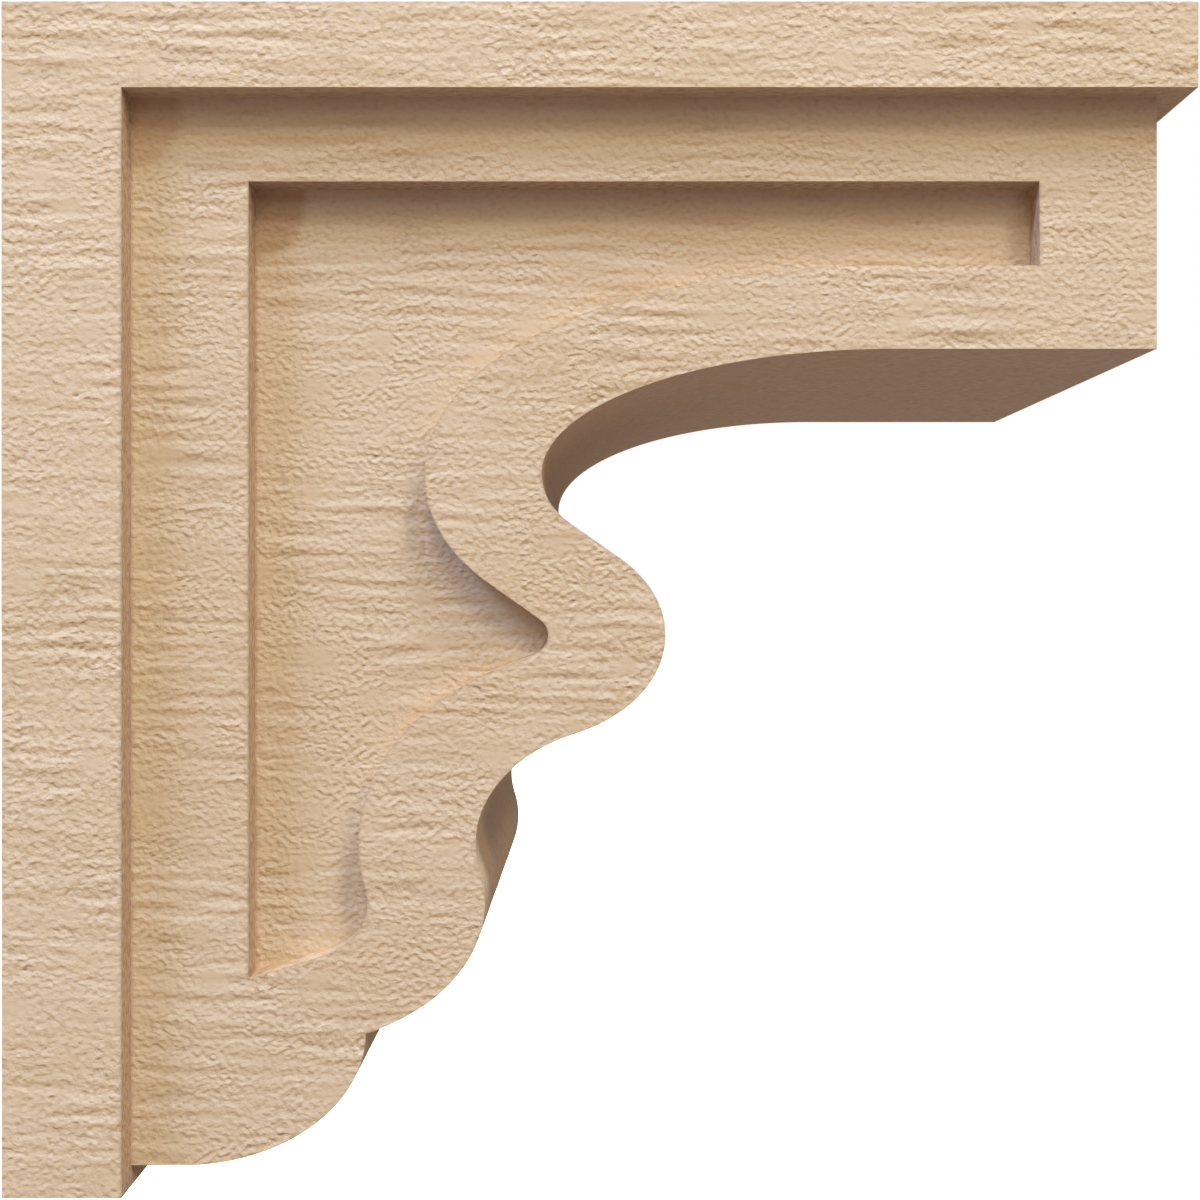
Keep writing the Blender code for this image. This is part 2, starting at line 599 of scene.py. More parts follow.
@dataclass
class Skin:
    """The closed skin: points, triangles, each triangle's patch, and values at the points."""

    points: Array
    faces: Array
    owner: Array
    values: dict[str, Array]

    def creases(self, ends: Array) -> Array:
        """Which edges lie between two patches, given rows of their two point numbers."""
        count = len(self.points)
        sides = np.sort(ends_of(self.faces), axis=1)
        key = sides[:, 0] * count + sides[:, 1]
        order = np.argsort(key, kind="stable")
        owner = np.tile(self.owner, 3)[order].reshape(-1, 2)
        between = key[order][::2][owner[:, 0] != owner[:, 1]]
        ends = np.sort(ends, axis=1)
        return np.isin(ends[:, 0].astype(np.int64) * count + ends[:, 1], between)

    def mesh(self, name: str, depth: float) -> bpy.types.Mesh:
        """The skin as a mesh, sharp between the patches.

        Args:
            name: the mesh's name.
            depth: the grain depth that counts as 1 in the mesh's grain value.

        Returns:
            The mesh.
        """
        mesh = bpy.data.meshes.new(name)
        faces = self.faces
        mesh.vertices.add(len(self.points))
        mesh.vertices.foreach_set("co", self.points.astype(np.float32).ravel())
        mesh.loops.add(faces.size)
        mesh.loops.foreach_set("vertex_index", faces.astype(np.int32).ravel())
        mesh.polygons.add(len(faces))
        mesh.polygons.foreach_set("loop_start", np.arange(0, faces.size, 3, dtype=np.int32))
        mesh.polygons.foreach_set("use_smooth", np.ones(len(faces), bool))
        mesh.update(calc_edges=True)
        ends = np.empty(len(mesh.edges) * 2, np.int32)
        mesh.edges.foreach_get("vertices", ends)
        sharp = mesh.attributes.new("sharp_edge", "BOOLEAN", "EDGE")
        sharp.data.foreach_set("value", self.creases(ends.reshape(-1, 2)))
        kept = self.values | {"grain": self.values["grain"] / depth}
        for label, values in kept.items():
            mesh.attributes.new(label, "FLOAT", "POINT").data.foreach_set("value", values.astype(np.float32))
        return mesh


@dataclass
class Skinner:
    """Makes the patches of the skin and welds them into one closed mesh.

    The weld is in metres. The clearances keep a flat face's points apart: row_clear is in steps across
    the grain; corner_clear and sliver are in insets.
    """

    pitch: Pitch
    grain: RoughSawn
    weld: float = 1e-7
    row_clear: float = 0.55
    corner_clear: float = 0.7
    sliver: float = 0.05
    patches: list[Patch] = field(default_factory=list)

    def net(self, loops: list[Array], steps: Pair) -> tuple[Array, Array]:
        """Points and triangles within outlines: the outlines, a row just inside, staggered rows within.

        The triangles are those of a Delaunay net of the points, worked out with the second direction
        stretched so that the steps are equal.

        Args:
            loops: the outer outline, counter-clockwise, and any holes, clockwise.
            steps: point spacing along the two directions.

        Returns:
            Rows of plane coordinates, and rows of point numbers, counter-clockwise.
        """
        inset = self.pitch.inset
        low, high = loops[0].min(axis=0), loops[0].max(axis=0)
        a = np.arange(low[0] + 0.5 * steps[0], high[0], steps[0])
        b = np.arange(low[1] + 0.5 * steps[1], high[1], steps[1])
        inner = np.stack(np.meshgrid(a, b), axis=-1)
        inner[1::2, :, 0] += 0.5 * steps[0]
        inner = inner.reshape(-1, 2)
        near, inside = distance_and_inside(inner, loops)
        inner = inner[inside & (near > inset + self.row_clear * steps[1])]
        row = np.vstack([inset_loop(loop, inset) for loop in loops])
        row = row[distance_and_inside(row, loops)[0] > self.corner_clear * inset]
        _, kept = np.unique(np.round(row / self.weld), axis=0, return_index=True)
        flat = np.vstack((*loops, row[np.sort(kept)], inner))
        scaled = (flat * np.array((1.0 / steps[0], 1.0 / steps[1]))).tolist()
        found = delaunay_2d_cdt(scaled, rim_edges(loops), [], 0, 1e-6)
        if len(found[0]) != len(flat):
            raise ValueError(f"{len(flat)} points became {len(found[0])}")
        faces = np.array([ids[0] for ids in found[3]])[np.array(found[2])]
        near, inside = distance_and_inside(flat[faces].mean(axis=1), loops)
        faces = faces[inside & (near > self.sliver * inset)]
        corners = flat[faces]
        turn = np.cross(corners[:, 1] - corners[:, 0], corners[:, 2] - corners[:, 0])
        return flat, np.where((turn < 0.0)[:, None], faces[:, ::-1], faces)

    def flat(
        self,
        name: str,
        plane: Plane,
        loops: list[Array],
        steps: Pair,
        relief: Relief,
        shade_lines: tuple[ShadeLine, ...] = (),
    ) -> None:
        """A flat face with its grain.

        Args:
            name: the face's name.
            plane: where it lies.
            loops: its outer outline and any holes.
            steps: point spacing along the two directions.
            relief: its grain.
            shade_lines: the lines beside which shade is painted on it.
        """
        loops = [loop if (area_of(loop) > 0.0) == (i == 0) else loop[::-1] for i, loop in enumerate(loops)]
        flat, faces = self.net(loops, steps)
        axes = np.eye(3)
        if np.dot(np.cross(axes[plane.first], axes[plane.second]), plane.normal) < 0.0:
            faces = faces[:, ::-1]
        near, _ = distance_and_inside(flat, loops)
        normals = np.tile(np.asarray(plane.normal, float), (len(flat), 1))
        # Painted shade: how much shade to paint at each point beside the overhang lines.
        painted_shade = sum((each.shade_paint(flat) for each in shade_lines), np.zeros(len(flat)))
        patch = Patch(name, plane.place(flat), faces, normals)
        self.add(patch, (flat[:, 0], flat[:, 1]), near, painted_shade, relief)

    def sweep(
        self, name: str, path: Array, widths: Array, outward: float, relief: Relief
    ) -> None:
        """A face that carries a path in (y, z) across the width, as a grid of path by x.

        The normal is the path's tangent turned a quarter turn.

        Args:
            name: the face's name.
            path: rows of (y, z).
            widths: the x values.
            outward: 1 if the outside is on the path's left, seen with y to the right, else -1.
            relief: its grain.
        """
        ahead = np.gradient(path, axis=0)
        ahead /= np.linalg.norm(ahead, axis=1, keepdims=True)
        normal = outward * np.column_stack((np.zeros(len(path)), -ahead[:, 1], ahead[:, 0]))
        step = np.linalg.norm(np.diff(path, axis=0), axis=1)
        length = np.concatenate(([0.0], np.cumsum(step)))
        rows, columns = len(path), len(widths)
        points = np.empty((rows, columns, 3))
        points[:, :, 0] = widths[None, :]
        points[:, :, 1:] = path[:, None, :]
        flat = points.reshape(-1, 3)
        index = np.arange(rows * columns).reshape(rows, columns)
        quads = np.stack((index[:-1, :-1], index[:-1, 1:], index[1:, 1:], index[1:, :-1]), axis=-1)
        quads = quads.reshape(-1, 4)
        faces = np.vstack((quads[:, [0, 1, 2]], quads[:, [0, 2, 3]]))
        normals = np.repeat(normal, columns, axis=0)
        first = flat[faces[0]]
        if np.dot(np.cross(first[1] - first[0], first[2] - first[0]), normals[faces[0, 0]]) < 0.0:
            faces = faces[:, ::-1]
        along = np.repeat(length, columns)
        across = np.tile(widths, rows)
        to_ends = np.minimum(along, length[-1] - along)
        to_sides = np.minimum(across - widths.min(), widths.max() - across)
        near = np.minimum(to_ends, to_sides)
        self.add(Patch(name, flat, faces, normals), (along, across), near, np.zeros(len(flat)), relief)

    def add(
        self,
        patch: Patch,
        place: tuple[Array, Array],
        near: Array,
        painted_shade: Array,
        relief: Relief,
    ) -> None:
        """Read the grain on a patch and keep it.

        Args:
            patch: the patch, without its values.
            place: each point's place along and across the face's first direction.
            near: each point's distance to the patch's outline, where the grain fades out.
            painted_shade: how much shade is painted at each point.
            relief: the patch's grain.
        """
        weight = smoothstep(self.pitch.inset, self.grain.fade, near)
        along, across = place[::-1] if relief.turned else place
        height, calm = self.grain.read(along, across, relief.layer)
        patch.values["grain"] = relief.depth * weight * height
        patch.values["calm"] = calm
        patch.values["painted_shade"] = painted_shade
        patch.values["plain"] = np.full(len(near), relief.plain)
        self.patches.append(patch)
        log.info("%s: %d points, %d triangles", patch.name, len(patch.points), len(patch.faces))

    def join(self) -> Skin:
        """Weld the patches and raise the grain.

        Points of neighbouring patches that fall together become one, with the mean of their values.

        Returns:
            The closed skin.
        """
        points = np.vstack([patch.points for patch in self.patches])
        normals = np.vstack([patch.normals for patch in self.patches])
        starts = np.cumsum([0] + [len(patch.points) for patch in self.patches])
        faces = np.vstack([patch.faces + first for patch, first in zip(self.patches, starts)])
        owner = np.repeat(np.arange(len(self.patches)), [len(patch.faces) for patch in self.patches])
        keys = np.round(points / self.weld).astype(np.int64)
        _, first, which = np.unique(keys, axis=0, return_index=True, return_inverse=True)
        which = which.ravel()
        shares = np.bincount(which)
        values = {}
        for label in self.patches[0].values:
            every = np.concatenate([patch.values[label] for patch in self.patches])
            values[label] = np.bincount(which, weights=every) / shares
        facing = np.column_stack([np.bincount(which, weights=normals[:, i]) for i in range(3)])
        facing /= np.maximum(np.linalg.norm(facing, axis=1), 1e-9)[:, None]
        place = points[first] + facing * values["grain"][:, None]
        faces = which[faces]
        self.check(place, faces)
        return Skin(place, faces, owner, values)

    @staticmethod
    def check(place: Array, faces: Array) -> None:
        """Stop unless every edge has exactly two triangles, one on each side."""
        count = faces.max() + 1
        ends = ends_of(faces)
        key = ends[:, 0] * count + ends[:, 1]
        back = ends[:, 1] * count + ends[:, 0]
        alone = np.setdiff1d(key, back)
        if len(alone) or len(np.unique(key)) != len(key):
            where = np.round(place[alone // count] * 1000.0, 2)[:8].tolist()
            raise ValueError(f"the skin is open at {len(alone)} edges, such as at {where}")


@dataclass
class Corbel:
    """The whole moulding: back plate, top plate and bracket with a sunk panel in each side."""

    sizes: Sizes = field(default_factory=Sizes)
    pitch: Pitch = field(default_factory=Pitch)
    grain: RoughSawn = field(default_factory=RoughSawn)
    shade_paint: ShadePaint = field(default_factory=ShadePaint)
    side_depth: float = 0.00034
    end_depth: float = 0.00030
    inner_depth: float = 0.00008
    half_plain: float = 0.6

    def __post_init__(self) -> None:
        """Work out the outlines and the places that the faces share."""
        s = self.sizes
        profile = Profile(s, self.pitch)
        self.bracket = profile.bracket()
        self.panel = profile.panel()
        self.skin = Skinner(self.pitch, self.grain)
        self.front = -s.depth * s.stretch
        self.back_plate = -s.plate * s.stretch
        self.soffit = s.top - s.plate
        self.foot = -s.top + s.foot_lift
        self.nose = -(s.depth - s.nose_setback) * s.stretch

    def shade_lines(self) -> tuple[tuple[ShadeLine, ...], tuple[ShadeLine, ...]]:
        """The lines beside which shade is painted on the bracket's side and on the panel's floor."""
        shade_paint = self.shade_paint
        root = (self.back_plate, self.soffit)
        # Painted shade under the top plate, under the panel's top and front walls, and in their corners.
        bracket = (
            shade_paint.along(root, (self.nose, self.soffit), shade_paint.overhang),
            shade_paint.corner(root, shade_paint.plate_corner),
        )
        top, front = self.panel[0], self.panel[1]
        corner = tuple(top[0])
        panel = (
            shade_paint.along(corner, tuple(top[-1]), shade_paint.overhang),
            shade_paint.along(tuple(front[0]), tuple(front[-1]), shade_paint.front),
            shade_paint.corner(corner, shade_paint.panel_corner),
        )
        return bracket, panel

    def sides(self) -> None:
        """Both sides: plate edges, bracket and panel floor share one grain across their steps."""
        s, p = self.sizes, self.pitch
        root = (self.back_plate, self.soffit)
        end = self.front
        corners = [
            (0.0, s.top), (end, s.top), (end, self.soffit), root, (self.back_plate, -s.top), (0.0, -s.top)
        ]
        plates = outline(corners, (p.grain, p.edge, p.grain, p.edge, p.edge, p.edge), p.inset)
        body = closed([
            line(root, (self.nose, self.soffit), p.grain, p.inset),
            *self.bracket,
            line((self.back_plate, self.foot), root, p.edge, p.inset),
        ])
        hole = closed(self.panel)
        on_bracket, on_panel = self.shade_lines()
        faces = (
            ("plates", s.half, [plates], ()),
            ("bracket", s.body_half, [body, hole], on_bracket),
            ("panel", s.floor_half, [hole], on_panel),
        )
        for side in Side:
            relief = Relief(self.side_depth, layer=0 if side is Side.LEFT else 60)
            for name, half, loops, shade_lines in faces:
                plane = Plane((side.value, 0.0, 0.0), side.value * half, 1, 2)
                label = f"{name} {side.name.lower()}"
                self.skin.flat(label, plane, loops, (p.grain, p.across), relief, shade_lines)

    def walls(self) -> None:
        """The sunk panels' walls, from the bracket's side down to the panel's floor."""
        s, p = self.sizes, self.pitch
        relief = Relief(self.inner_depth, layer=120, plain=1.0)
        for side in Side:
            widths = run(s.body_half, s.floor_half, p.sweep, p.inset) * side.value
            for chain, name in zip(self.panel, ("top", "front", "curve", "back")):
                self.skin.sweep(f"wall {name} {side.name.lower()}", chain, widths, 1.0, relief)

    def edge(self) -> None:
        """The bracket's edge, from the nose round under the arm and down to the foot."""
        half = self.sizes.body_half
        widths = run(-half, half, self.pitch.sweep, self.pitch.inset)
        reliefs = (
            Relief(self.end_depth, turned=True, layer=140),
            Relief(self.inner_depth, layer=160, plain=self.half_plain),
            Relief(self.inner_depth, layer=180, plain=self.half_plain),
            Relief(self.inner_depth, layer=200, plain=self.half_plain),
        )
        for chain, name, relief in zip(self.bracket, ("nose", "arm", "heel", "foot"), reliefs):
            self.skin.sweep(name, chain, widths, -1.0, relief)

    def plates(self) -> None:
        """The plates' other faces: top, end, back, bottom, and the two that the bracket stands on."""
        s, p = self.sizes, self.pitch
        bottom, wide, body = -s.top, s.half, s.body_half

        def box(low: float, high: float, pitch: float) -> Array:
            """Outline of a face over the full width between two places."""
            corners = [(-wide, low), (wide, low), (wide, high), (-wide, high)]
            return outline(corners, (p.sweep, pitch, p.sweep, pitch), p.inset)

        def saddle(outer: float, inner: float, root: float, leg: float) -> Array:
            """Outline of a face round the bracket's root: full width, less the bracket."""
            corners = [(-wide, outer), (wide, outer), (wide, root), (body, root)]
            corners += [(body, inner), (-body, inner), (-body, root), (-wide, root)]
            return outline(corners, (p.sweep, leg) * 4, p.inset)

        broad, thin, fine = (p.plain, p.plain), (p.sweep, p.sweep), (p.grain, p.across)
        along = Relief(self.end_depth, turned=True, layer=220)
        across = Relief(self.end_depth, layer=240)
        under = Relief(self.inner_depth, layer=260, plain=self.half_plain)
        inner = Relief(self.inner_depth, layer=280, plain=1.0)
        bare = Relief(0.0)
        up, down, out, back = (0.0, 0.0, 1.0), (0.0, 0.0, -1.0), (0.0, -1.0, 0.0), (0.0, 1.0, 0.0)
        under_loop = saddle(self.front, self.nose, self.back_plate, p.grain)
        front_loop = saddle(bottom, self.foot, self.soffit, p.edge)
        faces = (
            ("top", Plane(up, s.top, 0, 1), box(self.front, 0.0, p.grain), broad, along),
            ("plate end", Plane(out, self.front, 0, 2), box(self.soffit, s.top, p.edge), fine, across),
            ("back", Plane(back, 0.0, 0, 2), box(bottom, s.top, p.edge), broad, bare),
            ("bottom", Plane(down, bottom, 0, 1), box(self.back_plate, 0.0, p.edge), broad, bare),
            ("soffit", Plane(down, self.soffit, 0, 1), under_loop, thin, under),
            ("plate front", Plane(out, self.back_plate, 0, 2), front_loop, thin, inner),
        )
        for name, plane, loop, steps, relief in faces:
            self.skin.flat(name, plane, [loop], steps, relief)

    def build(self) -> bpy.types.Object:
        """Make every face, weld them and put the skin into the scene.

        Returns:
            The corbel's mesh object.
        """
        self.sides()
        self.walls()
        self.edge()
        self.plates()
        joined = self.skin.join()
        skin = bpy.data.objects.new("corbel_skin", joined.mesh("corbel_skin", self.side_depth))
        bpy.context.scene.collection.objects.link(skin)
        log.info("skin: %d points, %d triangles", len(joined.points), len(joined.faces))
        return skin


Value: TypeAlias = "float | tuple | Wire"


class Wire:
    """An output socket of a shader node, with arithmetic that adds Math nodes."""

    def __init__(self, graph: Graph, socket: bpy.types.NodeSocket) -> None:
        """Wrap a socket of a graph."""
        self.graph = graph
        self.socket = socket

    def math(self, operation: str, *values: Value) -> Wire:
        """One Math node on these values."""
        return self.graph.node("ShaderNodeMath", {"operation": operation}, dict(enumerate(values)))

    def __add__(self, other: Value) -> Wire:
        """This plus the other."""
        return self.math("ADD", self, other)

    __radd__ = __add__

    def __sub__(self, other: Value) -> Wire:
        """This less the other."""
        return self.math("SUBTRACT", self, other)

    def __rsub__(self, other: Value) -> Wire:
        """The other less this."""
        return self.math("SUBTRACT", other, self)

    def __mul__(self, other: Value) -> Wire:
        """This times the other."""
        return self.math("MULTIPLY", self, other)

    __rmul__ = __mul__

    def size(self) -> Wire:
        """This without its sign."""
        return self.math("ABSOLUTE", self)

    def over(self, low: float, high: float) -> Wire:
        """0 at low, 1 at high, smooth between and flat outside."""
        settings = {"interpolation_type": "SMOOTHSTEP"}
        return self.graph.node("ShaderNodeMapRange", settings, {"Value": self, 1: low, 2: high})


@dataclass(frozen=True)
class Texture:
    """A shader noise: its cell in millimetres, its detail, and the values that become 0 and 1."""

    cell: Triple
    detail: float = 0.0
    low: float = 0.0
    high: float = 1.0


@dataclass
class Graph:
    """A material's node tree, filled one node at a time."""

    tree: bpy.types.NodeTree
    noise_roughness: float = 0.55

    def node(
        self, kind: str, settings: dict | None = None, inputs: dict | None = None, output: int | str = 0
    ) -> Wire:
        """Add a node.

        Args:
            kind: the node's type.
            settings: attributes that are set first.
            inputs: values or links by socket name or number.
            output: which output to return.

        Returns:
            The chosen output.
        """
        made = self.tree.nodes.new(kind)
        for name, value in (settings or {}).items():
            setattr(made, name, value)
        for name, value in (inputs or {}).items():
            if isinstance(value, Wire):
                self.tree.links.new(value.socket, made.inputs[name])
            else:
                made.inputs[name].default_value = value
        return Wire(self, made.outputs[output])

    def value(self, name: str) -> Wire:
        """One of the skin's own values."""
        return self.node("ShaderNodeAttribute", {"attribute_name": name}, output="Fac")

    def scaled(self, vector: Wire, factors: Triple) -> Wire:
        """A vector times a factor on each axis."""
        return self.node("ShaderNodeVectorMath", {"operation": "MULTIPLY"}, {0: vector, 1: factors})

    def shifted(self, vector: Wire, by: Wire) -> Wire:
        """The sum of two vectors."""
        return self.node("ShaderNodeVectorMath", {"operation": "ADD"}, {0: vector, 1: by})

    def cells(self, vector: Wire, cell: Triple) -> Wire:
        """A place in millimetres counted in cells of this size."""
        return self.scaled(vector, (1.0 / cell[0], 1.0 / cell[1], 1.0 / cell[2]))

    def noise(self, vector: Wire, texture: Texture, output: str = "Fac") -> Wire:
        """A noise read at a place in millimetres."""
        inputs = {"Vector": self.cells(vector, texture.cell), "Scale": 1.0, "Detail": texture.detail}
        inputs["Roughness"] = self.noise_roughness
        return self.node("ShaderNodeTexNoise", {"noise_dimensions": "3D"}, inputs, output)

    def signed(self, vector: Wire, texture: Texture) -> Wire:
        """The noise about zero, from about -0.7 to 0.7."""
        return (self.noise(vector, texture) - 0.5) * 2.0

    def mix(self, factor: Value, first: Value, second: Value) -> Wire:
        """A colour between two colours."""
        settings = {"data_type": "RGBA", "clamp_factor": True}
        return self.node("ShaderNodeMix", settings, {0: factor, 6: first, 7: second}, 2)


@dataclass(frozen=True)
class Primer:
    """Matt tan primer on a moulded rough-sawn grain.

    Cells are in millimetres and the bump in metres. A share says how much a pattern adds to the height
    or the colour. The plates, which lie beyond plate_edge, are lighter by the factors of proud.
    """

    name: str = "tan_primer"
    warm: Colour = (0.694, 0.534, 0.381, 1.0)
    cool: Colour = (0.721, 0.566, 0.420, 1.0)
    # Painted shade colour for the hollows between crumbs and for the pits.
    hollow_shade: Colour = (0.40, 0.27, 0.17, 1.0)
    streak: Colour = (0.36, 0.232, 0.148, 1.0)
    # Inner tone of the plain faces: their own browner streaky primer, made darker still as painted shade
    # where less light falls on them.
    moulded: Colour = (0.532, 0.390, 0.264, 1.0)
    # Painted shade on crumbs facing down (shaded), and painted light on crumbs facing up (lit).
    down_facing_shade: Triple = (0.98, 0.92, 0.80)
    lit: Triple = (1.02, 1.08, 1.20)
    # Painted shade: browner tint for the faces under the overhangs and in the corners.
    corner_shade_tint: Triple = (0.70, 0.56, 0.46)
    proud: Triple = (1.03, 1.04, 1.05)
    plate_edge: Pair = (65.5, 68.5)
    roughness: float = 0.78
    crumb_roughness: float = 0.1
    specular: float = 0.3
    bump: float = 0.000175
    lean: float = 0.4
    sway: Texture = Texture((14.0, 22.0, 14.0), 1.0)
    sway_reach: float = 2.0
    soft: Texture = Texture((1.7, 1.9, 1.55))
    soft_share: float = 0.70
    bead: Texture = Texture((2.1, 2.4, 1.9))
    bead_share: float = 0.27
    bead_base: float = 0.2
    grit: Texture = Texture((0.8, 0.85, 0.75), 1.0)
    grit_share: float = 0.26
    rough: Texture = Texture((20.0, 22.0, 16.0), 0.0, -0.25, 0.3)
    seam: Texture = Texture((60.0, 26.0, 110.0), 0.0, 0.07, 0.0)
    seam_parts: Texture = Texture((9.0, 9.0, 7.0), 0.0, -0.3, 0.3)
    vigour: Triple = (0.85, 0.40, 0.7)
    calm_loss: float = 0.9
    plain_loss: float = 0.85
    fibre: Texture = Texture((0.45, 3.0, 2.4), 4.0, 0.42, 0.62)
    cloud: Texture = Texture((40.0, 70.0, 30.0), 2.0, 0.36, 0.64)
    low_crumb: float = 0.45
    crumb_shade_share: float = 0.18
    low_grain: Pair = (0.05, 0.4)
    grain_shade_share: float = 0.15
    painted_light_gain: float = 3.0
    pit_bend: Texture = Texture((2.0, 2.0, 2.0), 1.0)
    pit_bend_reach: float = 1.4
    pit_cell: float = 13.0
    pit_size: Pair = (0.11, 0.05)
    pit_choice: Pair = (0.72, 0.74)
    pit_depth: float = 1.2
    pit_share: float = 0.75

    def material(self) -> bpy.types.Material:
        """The primer as a material.

        Returns:
            A Principled material on Object coordinates and the skin's own values.
        """
        made = bpy.data.materials.new(self.name)
        made.use_nodes = True
        graph = Graph(made.node_tree)
        shader = made.node_tree.nodes["Principled BSDF"]
        place = graph.node("ShaderNodeTexCoord", output="Object")
        mm = graph.scaled(place, (1000.0, 1000.0, 1000.0))
        calm, plain = graph.value("calm"), graph.value("plain")
        sway = graph.scaled(graph.noise(mm, self.sway, "Color"), (self.sway_reach,) * 3)
        drift = graph.shifted(mm, sway)
        leant = graph.shifted(drift, graph.scaled(self.crumbs(graph, drift), (0.0, 0.0, self.lean)))
        crumbs = self.crumbs(graph, leant)
        seam = graph.signed(mm, self.seam).size().over(self.seam.low, self.seam.high)
        seam = seam * self.spread(graph.signed(mm, self.seam_parts), self.seam_parts)
        rough = self.spread(graph.signed(mm, self.rough), self.rough)
        vigour = self.vigour[0] + self.vigour[1] * rough + self.vigour[2] * seam
        height = (crumbs + graph.signed(drift, self.grit) * self.grit_share) * vigour
        height = height * (1.0 - self.calm_loss * calm) * (1.0 - self.plain_loss * plain)
        pits = self.pits(graph, mm)
        height = height - pits * self.pit_depth
        bump = {"Strength": 1.0, "Distance": self.bump, "Height": height}
        normal = graph.node("ShaderNodeBump", inputs=bump)
        # Painted shade: how deep each point lies in the hollows between crumbs and in the valleys of the
        # mesh grain.
        low = (0.0 - crumbs).over(0.0, self.low_crumb) * self.crumb_shade_share * vigour
        low = low + (0.0 - graph.value("grain")).over(*self.low_grain) * self.grain_shade_share
        tone = self.outer_tone(graph, mm, normal, low * (1.0 - calm), pits)
        fibre = self.spread(graph.noise(mm, self.fibre), self.fibre)
        # Plain faces take the darker streaky inner tone: partly their own browner primer, partly painted
        # shade.
        tone = graph.mix(plain, tone, graph.mix(fibre, self.moulded, self.streak))
        links = made.node_tree.links
        links.new(tone.socket, shader.inputs["Base Color"])
        links.new((self.roughness + self.crumb_roughness * crumbs).socket, shader.inputs["Roughness"])
        links.new(normal.socket, shader.inputs["Normal"])
        shader.inputs["Specular IOR Level"].default_value = self.specular
        return made

    def outer_tone(self, graph: Graph, mm: Wire, normal: Wire, low: Wire, pits: Wire) -> Wire:
        """Colour of the outer faces.

        Two tans in slow clouds, lighter on the plates, with painted shade browning the hollows and pits.
        Crumbs that face up are painted lighter and cooler and those that face down darker and warmer, as
        painted light and shade, and the strips under overhangs and in corners get a browner painted shade.

        Args:
            graph: the material's graph.
            mm: Object coordinates in millimetres.
            normal: the bumped normal.
            low: painted shade, 0 on the crumbs, rising in the hollows between them.
            pits: 1 in a pit.

        Returns:
            The colour.
        """
        cloud = self.spread(graph.noise(mm, self.cloud), self.cloud)
        tone = graph.mix(cloud, self.warm, self.cool)
        outer = graph.node("ShaderNodeSeparateXYZ", inputs={0: mm}, output="X").size().over(*self.plate_edge)
        tone = graph.mix(outer, tone, graph.scaled(tone, self.proud))
        # Painted shade in the hollows between crumbs and in the pits.
        tone = graph.mix(low, tone, self.hollow_shade)
        tone = graph.mix(pits * self.pit_share, tone, self.hollow_shade)
        # Painted light and shade: crumbs whose bumped normal faces up are painted paler and cooler, those
        # facing down darker and warmer.
        upward = graph.node("ShaderNodeSeparateXYZ", inputs={0: normal}, output="Z")
        facing = upward * self.painted_light_gain + 0.5
        tone = graph.mix(facing, graph.scaled(tone, self.down_facing_shade), graph.scaled(tone, self.lit))
        # Painted shade under the overhangs and in the corners, as much as the skin's value for it says.
        return graph.mix(graph.value("painted_shade"), tone, graph.scaled(tone, self.corner_shade_tint))

    @staticmethod
    def spread(value: Wire, texture: Texture) -> Wire:
        """A noise with its low and high values stretched to 0 and 1."""
        return value.over(texture.low, texture.high)

    def crumbs(self, graph: Graph, place: Wire) -> Wire:
        """Rounded crumbs with narrow gaps between them, mixed with a soft noise."""
        bead = graph.signed(place, self.bead).size() - self.bead_base
        return graph.signed(place, self.soft) * self.soft_share + bead * self.bead_share

    def pits(self, graph: Graph, mm: Wire) -> Wire:
        """1 in scattered dark pits, the hearts of a few cells of a Voronoi pattern, and 0 elsewhere."""
        bend = graph.scaled(graph.noise(mm, self.pit_bend, "Color"), (self.pit_bend_reach,) * 3)
        bent = graph.cells(graph.shifted(mm, bend), (self.pit_cell,) * 3)
        inputs = {"Vector": bent, "Scale": 1.0}
        near = graph.node("ShaderNodeTexVoronoi", {"feature": "F1"}, inputs, "Distance")
        tint = graph.node("ShaderNodeTexVoronoi", {"feature": "F1"}, inputs, "Color")
        chosen = graph.node("ShaderNodeSeparateColor", inputs={0: tint}).over(*self.pit_choice)
        return near.over(*self.pit_size) * chosen


@dataclass(frozen=True)
class SoftBox:
    """A soft square light: its direction from the corbel, its side in metres, colour and strength.

    At strength 1 it makes a white sheet held square to it at the corbel as bright as the picture's white.
    """

    name: str
    towards: Triple
    side: float
    colour: Triple
    strength: float


